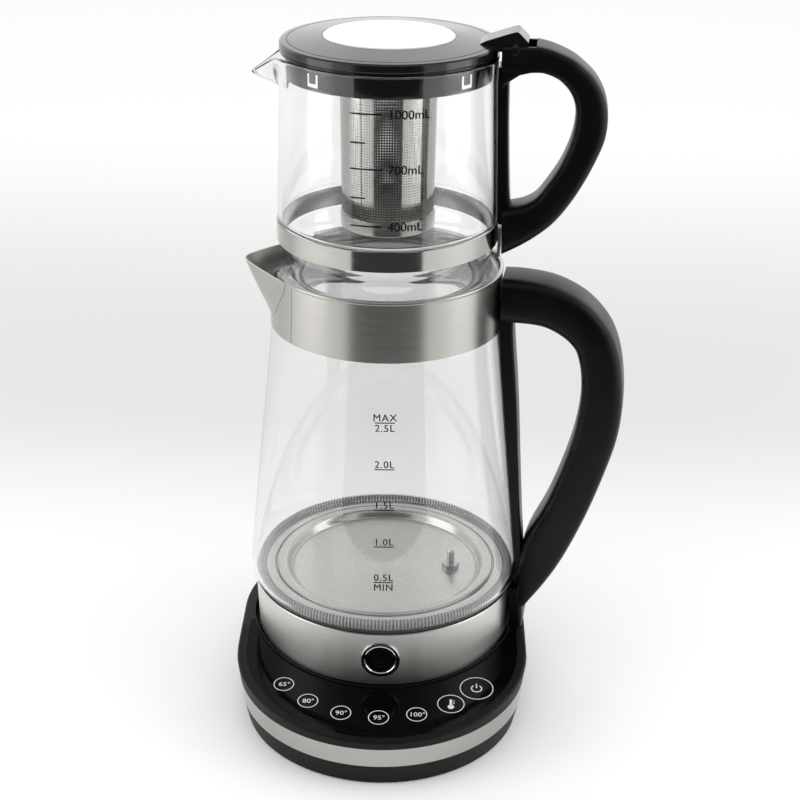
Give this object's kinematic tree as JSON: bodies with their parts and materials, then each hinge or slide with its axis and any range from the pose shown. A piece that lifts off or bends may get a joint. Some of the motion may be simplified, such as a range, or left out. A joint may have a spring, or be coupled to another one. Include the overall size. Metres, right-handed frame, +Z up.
{
  "type": "electric tea maker",
  "caption": "Glass kettle on a touch-control base with a glass teapot and infuser stacked in its mouth; the kettle lifts and turns, the teapot lifts off and the lid hinges.",
  "frame": {"origin": "on the supporting surface, on the kettle's own vertical axis", "axes": "+Z up along the kettle's axis; -Y to the front, where the control panel is; +X to the side of the handles"},
  "size_m": [0.2327, 0.2225, 0.4159],
  "materials": {
    "matte_black_plastic": "fine spark texture, matte",
    "satin_black_plastic": "smooth satin moulding",
    "gloss_black_panel": "polished, mirror-like",
    "black_rubber": "matte",
    "bright_band": "bright satin",
    "brushed_steel": "brushed round the wall",
    "spun_steel": "turned, circular grain",
    "mesh_steel": "finely etched sheet",
    "spring_steel": "plain wire",
    "zinc_steel": "zinc plated",
    "element_steel": "dull tube",
    "cast_aluminium": "as cast",
    "chrome_trim": "polished",
    "circuit_board": "lacquered",
    "clear_glass": "clear borosilicate",
    "clear_silicone": "translucent, smooth"
  },
  "bodies": {
    "base": {"base_tray": "matte_black_plastic", "base_feet": "black_rubber", "base_band": "bright_band", "base_housing": "matte_black_plastic", "control_panel": "gloss_black_panel", "touch_pads": "spring_steel", "control_board": "circuit_board", "power_board": "circuit_board", "base_connector": "matte_black_plastic", "base_screws": "zinc_steel", "cord_gland": "black_rubber"},
    "coupling": {"kettle_connector": "matte_black_plastic"},
    "kettle": {"kettle_skirt": "brushed_steel", "kettle_glass": "clear_glass", "glass_seal": "clear_silicone", "heating_plate": "spun_steel", "heat_spreader": "cast_aluminium", "heating_element": "element_steel", "temperature_sensor": "spun_steel", "sensor_nut": "zinc_steel", "kettle_base_cover": "matte_black_plastic", "kettle_base_screws": "zinc_steel", "indicator_bezel": "chrome_trim", "indicator_lens": "gloss_black_panel", "indicator_board": "circuit_board", "kettle_collar": "brushed_steel", "kettle_spout": "brushed_steel", "collar_seal": "clear_silicone", "mouth_ring": "clear_silicone", "kettle_handle": "satin_black_plastic", "kettle_handle_cover": "satin_black_plastic", "handle_screws": "zinc_steel"},
    "teapot": {"teapot_glass": "clear_glass", "teapot_band": "bright_band", "teapot_bracket": "zinc_steel", "teapot_band_screw": "zinc_steel", "teapot_handle": "satin_black_plastic", "teapot_handle_cover": "satin_black_plastic", "hinge_pin": "zinc_steel", "infuser_ring": "satin_black_plastic", "ring_seal": "clear_silicone", "infuser_basket": "mesh_steel", "infuser_base": "spun_steel"},
    "lid": {"lid_cap": "satin_black_plastic", "lid_disc": "spun_steel", "lid_inner": "satin_black_plastic"}
  },
  "joints": [
    {"name": "kettle_lift", "type": "slide", "parent": "base", "child": "coupling", "axis": [0, 0, 1], "range_m": [0, 0.12]},
    {"name": "kettle_spin", "type": "hinge", "parent": "coupling", "child": "kettle", "pos_m": [0, 0, 0.045], "axis": [0, 0, 1], "continuous": true},
    {"name": "teapot_lift", "type": "slide", "parent": "kettle", "child": "teapot", "axis": [0, 0, 1], "range_m": [0, 0.1]},
    {"name": "lid_hinge", "type": "hinge", "parent": "teapot", "child": "lid", "pos_m": [0.06973, -0.0061, 0.4065], "axis": [0.0872, 0.9962, 0], "range_deg": [0, 85]}
  ]
}
